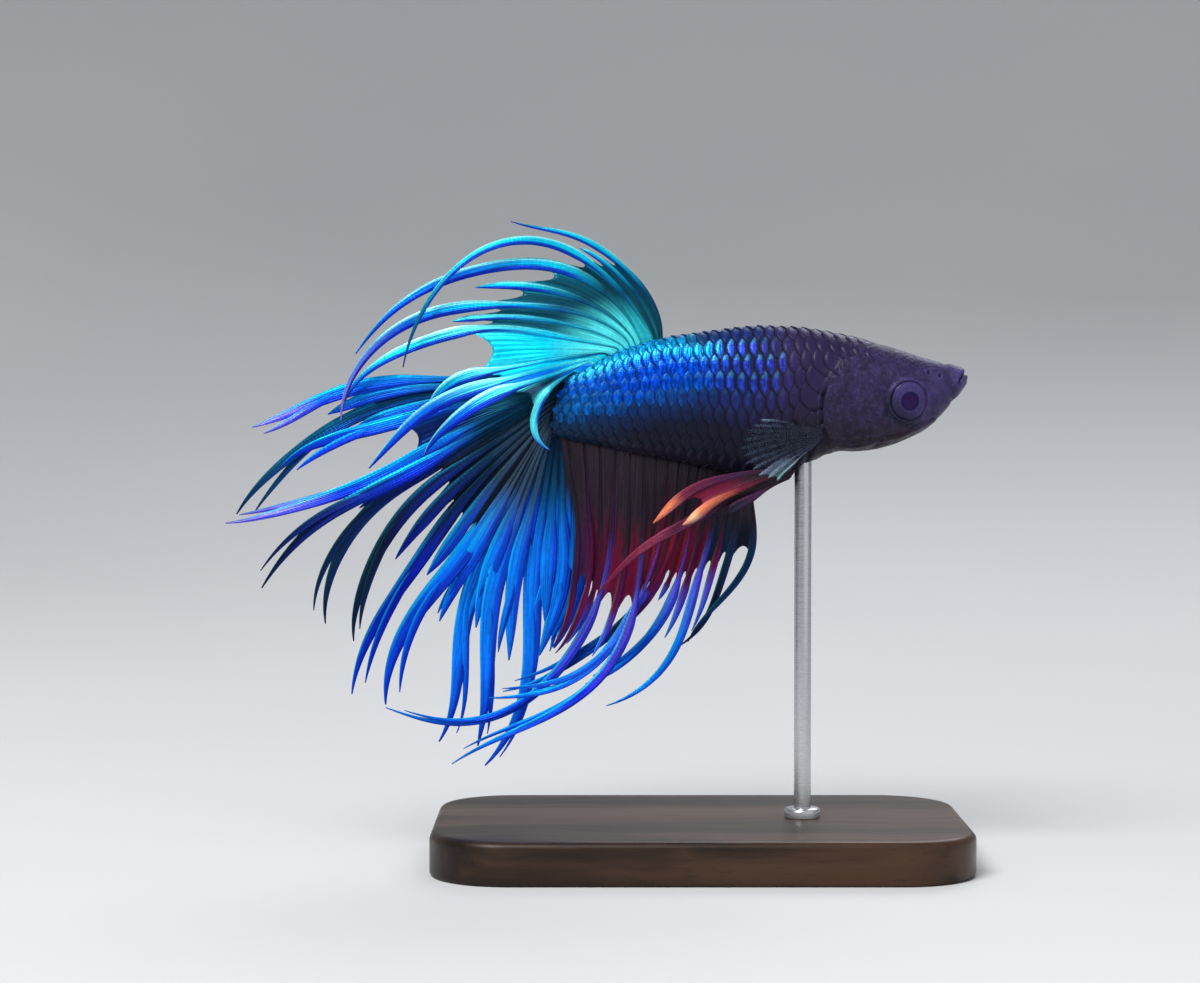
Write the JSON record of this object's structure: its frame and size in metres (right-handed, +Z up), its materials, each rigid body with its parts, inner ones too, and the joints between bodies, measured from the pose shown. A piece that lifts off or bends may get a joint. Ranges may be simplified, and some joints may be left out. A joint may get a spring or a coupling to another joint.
{
  "type": "betta fish",
  "caption": "Life-size still model of a male crowntail betta with long free fin rays, in blue scales, on a flat base with an upright rod.",
  "frame": {"origin": "centre of the underside of the stand's base", "axes": "+Z up, +X toward the fish's head along its length, -Y toward its right flank"},
  "size_m": [0.0865, 0.038, 0.0752],
  "materials": {
    "head_skin": "satin fish skin",
    "jaw_skin": "satin fish skin",
    "gill_skin": "satin fish skin",
    "eye_glass": "wet clear dome over a dark iris",
    "trunk_scales": "iridescent scales",
    "stalk_scales": "iridescent scales",
    "dorsal_web": "glossy fin membrane",
    "caudal_web": "glossy fin membrane",
    "anal_web": "glossy fin membrane",
    "pelvic_web": "glossy fin membrane",
    "pectoral_web": "clear fin membrane",
    "stand_board": "satin black stain",
    "stand_steel": "satin"
  },
  "bodies": {
    "root": {"head": "head_skin", "lower_jaw": "jaw_skin", "gill_cover_right": "gill_skin", "gill_cover_left": "gill_skin", "eye_right": "eye_glass", "eye_left": "eye_glass", "trunk": "trunk_scales", "tail_stalk": "stalk_scales", "dorsal_fin": "dorsal_web", "caudal_fin": "caudal_web", "anal_fin": "anal_web", "pelvic_fin_right": "pelvic_web", "pelvic_fin_left": "pelvic_web", "pectoral_fin_right": "pectoral_web", "pectoral_fin_left": "pectoral_web", "stand_base": "stand_board", "stand_rod": "stand_steel"}
  },
  "joints": []
}
